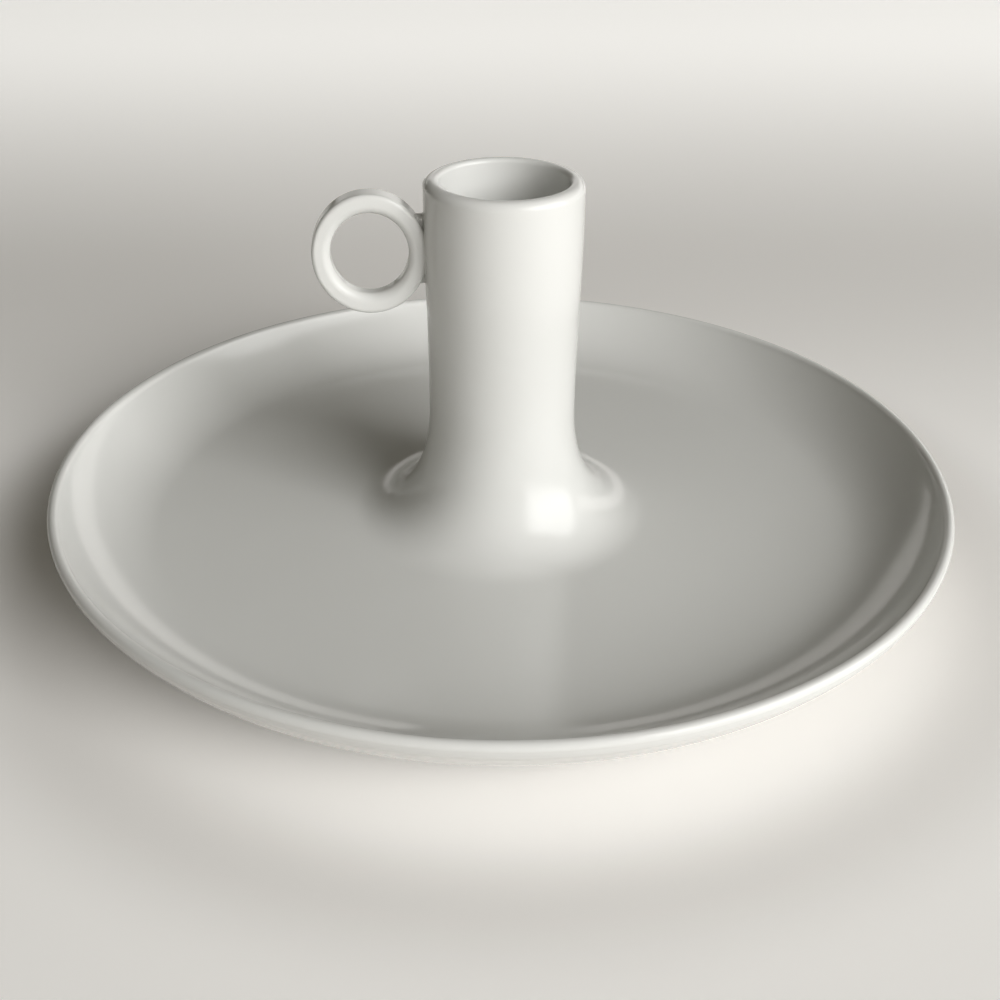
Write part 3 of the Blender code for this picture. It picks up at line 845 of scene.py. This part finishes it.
class ThrowDish(bpy.types.Operator):
    """Throw the wide shallow dish with its rolled lip and foot ring"""

    bl_idname = "candle_holder.throw_dish"
    bl_label = "Throw Dish"

    def execute(self, context):
        item = thrown("dish_glazed", dish_section(context.scene.dish_sizes), LARGE_FACES)
        seat(item, GLAZE_SLOT, "dish")
        return {"FINISHED"}


class ThrowColumn(bpy.types.Operator):
    """Throw the hollow candle column with its flared skirt, rounded mouth and tapered socket"""

    bl_idname = "candle_holder.throw_column"
    bl_label = "Throw Column"

    def execute(self, context):
        item = thrown("candle_column_glazed", column_section(context.scene.column_sizes), LARGE_FACES)
        seat(item, GLAZE_SLOT, "candle_column")
        return {"FINISHED"}


class SetSocketFloor(bpy.types.Operator):
    """Set the disc that the candle stands on into the column"""

    bl_idname = "candle_holder.set_socket_floor"
    bl_label = "Set Socket Floor"

    def execute(self, context):
        item = thrown("socket_floor_glazed", disc_section(), DISC_FACES)
        seat(item, GLAZE_SLOT, "socket_floor")
        return {"FINISHED"}


class LaySlipBead(bpy.types.Operator):
    """Lay the bead of slip that bonds the skirt to the dish, inside the foot of the column"""

    bl_idname = "candle_holder.lay_slip_bead"
    bl_label = "Lay Slip Bead"

    def execute(self, context):
        points = bead_section(context.scene.column_sizes)
        item = thrown("column_slip_bead", points, BEAD_FACES, slip_material(), BEAD_WAVES)
        seat(item, SLIP_SLOT, "column_luting")
        return {"FINISHED"}


class LuteRing(bpy.types.Operator):
    """Lute the finger ring to the column, with slip in the notches above and below"""

    bl_idname = "candle_holder.lute_ring"
    bl_label = "Lute Ring"

    def execute(self, context):
        scene = context.scene
        sizes, column, look = scene.ring_sizes, scene.column_sizes, scene.glaze_look
        low = Vector([side - SKIN_MARGIN for side in RING_LOW])
        high = Vector([side + SKIN_MARGIN for side in RING_HIGH])
        high.x = SKIN_INSIDE - column.head_diameter / 2
        cells = [math.ceil(side / SKIN_CELL) for side in high - low]
        values = {
            **lengths_of(sizes),
            "Head": column.head_diameter / 2,
            "Neck": column.neck_diameter / 2,
            "Neck height": neck_height(column),
            "Swell": column.swell_height,
            "Swell turn": column.swell_turn,
            "Low corner": low,
            "High corner": high,
            **{f"Cells {axis}": number for axis, number in zip("XYZ", cells)},
            "Undulation": look.undulation,
            "Waves": look.undulation_size,
            "Material": glaze_material(),
        }
        start = line_object("finger_ring_glazed", [(0.0, 0.0), (0.0, 0.001)])
        item = shaped(start, skin_tree(values), values)
        seat(item, GLAZE_SLOT, "finger_ring", "ring_luting")
        return {"FINISHED"}


class SetStage(bpy.types.Operator):
    """Set the table, the lamps and the camera"""

    bl_idname = "candle_holder.set_stage"
    bl_label = "Set Stage"

    def execute(self, context):
        look = context.scene.stage_look
        make_table(look)
        make_room(context.scene, look)
        make_lamps(look)
        make_camera(context.scene, look)
        context.scene.view_settings.view_transform = "Standard"
        return {"FINISHED"}


def towards(azimuth, elevation):
    """The direction to something, by its azimuth from -Y towards +X and its elevation."""
    flat = math.cos(elevation)
    return Vector((flat * math.sin(azimuth), -flat * math.cos(azimuth), math.sin(elevation)))


def seen_share(maker):
    """1 for what the camera and the mirroring glaze see, and 0 for the light that falls on things."""
    rays = maker.add("ShaderNodeLightPath").outputs
    seen = maker.maths("MAXIMUM", rays["Is Camera Ray"], rays["Is Glossy Ray"])
    return maker.maths("MAXIMUM", seen, rays["Is Transmission Ray"])


def azimuth_of(maker, x, y):
    """The way to a place, from -Y towards +X."""
    return maker.maths("ARCTAN2", x, maker.times(y, -1.0))


def make_table(look):
    """A plain pale table top that looks paler far behind, in front and beside the dish, with a painted pool
    of light close in front of the dish.
    """
    material, maker, shader = new_material("table_top")
    shader.inputs["Base Color"].default_value = (*look.table, 1.0)
    shader.inputs["Roughness"].default_value = 0.55
    place = maker.add("ShaderNodeTexCoord").outputs["Object"]
    x, behind, _ = maker.parts(place)
    reach = maker.vector("LENGTH", place, output="Value")
    far = maker.times(ramp(maker, behind, look.far_start, look.far_end), look.far_glow)
    # Painted light: a pool of light on the table close in front of the dish, where the dish throws light
    # onto it.
    facing = near(maker, azimuth_of(maker, x, behind), look.near_azimuth, look.near_spread)
    beside = maker.times(facing, fading(maker, reach, look.near_start, look.near_end), look.near_painted_light)
    before = fading(maker, behind, 0.0, look.open_gone)
    aside = maker.times(ramp(maker, reach, look.open_start, look.open_end), look.open_glow, before)
    shader.inputs["Emission Color"].default_value = (*look.glow, 1.0)
    glow = maker.times(maker.plus(far, beside, aside), seen_share(maker))
    maker.feed(shader.inputs["Emission Strength"], glow)
    bpy.ops.mesh.primitive_plane_add(size=16.0, location=(0.0, 0.0, 0.0))
    table = bpy.context.object
    table.name = "table"
    table.data.materials.append(material)
    table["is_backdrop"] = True


def make_room(scene, look):
    """A dim room with a tall window at the front right and a pale strip of wall far behind."""
    world = bpy.data.worlds.new("room")
    world.use_nodes = True
    maker = NodeMaker(world.node_tree)
    x, y, z = maker.parts(maker.add("ShaderNodeTexCoord").outputs["Generated"])
    turn = maker.maths("WRAP", azimuth_of(maker, x, y), math.tau - QUARTER, -QUARTER)
    climb = maker.maths("ARCSINE", z)
    window = maker.times(
        between(maker, turn, look.window_start, look.window_end, look.window_soft),
        between(maker, climb, look.window_low, look.window_high, look.window_soft),
    )
    sinking = ramp(maker, turn, math.pi, look.wall_end)
    upper = maker.minus(look.wall_top, maker.times(sinking, look.wall_drop))
    wall = maker.times(
        between(maker, turn, look.wall_start, look.wall_end, look.wall_soft),
        between(maker, climb, look.wall_low, upper, look.wall_soft),
    )
    dim = scaled_colour(look.room, look.room_strength)
    shown = mixed(maker, wall, dim, scaled_colour(look.wall, look.wall_strength))
    shown = mixed(maker, window, shown, scaled_colour(look.window, look.window_glare))
    shown = mixed(maker, seen_share(maker), dim, shown)
    maker.feed(world.node_tree.nodes["Background"].inputs["Color"], shown)
    scene.world = world


def make_lamp(look, name, power, way, size):
    """A soft lamp that shines on the holder. The glaze mirrors the room's window in its place."""
    lamp = bpy.data.lights.new(name, "AREA")
    lamp.shape = "RECTANGLE"
    lamp.size, lamp.size_y = size
    lamp.energy = power
    lamp.color = look.window
    item = bpy.data.objects.new(name, lamp)
    bpy.context.scene.collection.objects.link(item)
    item.location = way * look.lamp_distance
    item.rotation_euler = way.to_track_quat("Z", "Y").to_euler()
    item.visible_camera = False
    item.visible_glossy = False


def make_lamps(look):
    """The low sun in the window, and the window's own soft light."""
    way = towards(look.sun_azimuth, look.sun_elevation)
    make_lamp(look, "sun_light", look.sun_power, way, (look.sun_width, look.sun_height))
    spans = look.window_end - look.window_start, look.window_high - look.window_low
    width, height = (2 * look.lamp_distance * math.tan(span / 2) for span in spans)
    power = math.pi * width * height * look.window_strength
    way = towards(look.window_lamp, (look.window_low + look.window_high) / 2)
    make_lamp(look, "window_light", power, way, (width, height))


def make_camera(scene, look):
    """The camera, where the photograph was taken from."""
    lens = bpy.data.cameras.new("camera")
    lens.lens = look.camera_lens
    lens.shift_x = look.camera_shift
    lens.clip_start = 0.01
    item = bpy.data.objects.new("camera", lens)
    scene.collection.objects.link(item)
    azimuth, distance = look.camera_azimuth, look.camera_distance
    place = Vector((-distance * math.sin(azimuth), -distance * math.cos(azimuth), look.camera_height))
    item.matrix_world = (
        Matrix.Translation(place)
        @ Matrix.Rotation(-azimuth, 4, "Z")
        @ Matrix.Rotation(QUARTER - look.camera_pitch, 4, "X")
        @ Matrix.Rotation(look.camera_roll, 4, "Z")
    )
    scene.camera = item


OPERATORS = (ThrowDish, ThrowColumn, SetSocketFloor, LaySlipBead, LuteRing, SetStage)


class CandleHolderPanel(bpy.types.Panel):
    """The sidebar panel with the holder's pieces, sizes and look"""

    bl_idname = "VIEW3D_PT_candle_holder"
    bl_label = "Candle Holder"
    bl_space_type = "VIEW_3D"
    bl_region_type = "UI"
    bl_category = "Candle Holder"

    def draw(self, context):
        for operator in OPERATORS:
            self.layout.operator(operator.bl_idname)
        for name, kind in GROUPS.items():
            box = self.layout.box()
            box.label(text=name.replace("_", " ").capitalize())
            for entry in kind.__annotations__:
                box.prop(getattr(context.scene, name), entry)


GROUPS = {
    "dish_sizes": DishSizes,
    "column_sizes": ColumnSizes,
    "ring_sizes": RingSizes,
    "glaze_look": GlazeLook,
    "stage_look": StageLook,
}
CLASSES = (*GROUPS.values(), *OPERATORS, CandleHolderPanel)


def register():
    for kind in CLASSES:
        bpy.utils.register_class(kind)
    for name, group in GROUPS.items():
        setattr(bpy.types.Scene, name, PointerProperty(type=group))


def unregister():
    for name in GROUPS:
        delattr(bpy.types.Scene, name)
    for kind in reversed(CLASSES):
        bpy.utils.unregister_class(kind)


def corners():
    """The shown object's lowest and highest corner, as plain lists."""
    return [list(corner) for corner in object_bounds()]


def main():
    register()
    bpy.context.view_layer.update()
    bpy.ops.candle_holder.throw_dish()
    bpy.ops.candle_holder.throw_column()
    bpy.ops.candle_holder.set_socket_floor()
    bpy.ops.candle_holder.lay_slip_bead()
    bpy.ops.candle_holder.lute_ring()
    bpy.ops.candle_holder.set_stage()


if __name__ == "__main__":
    main()
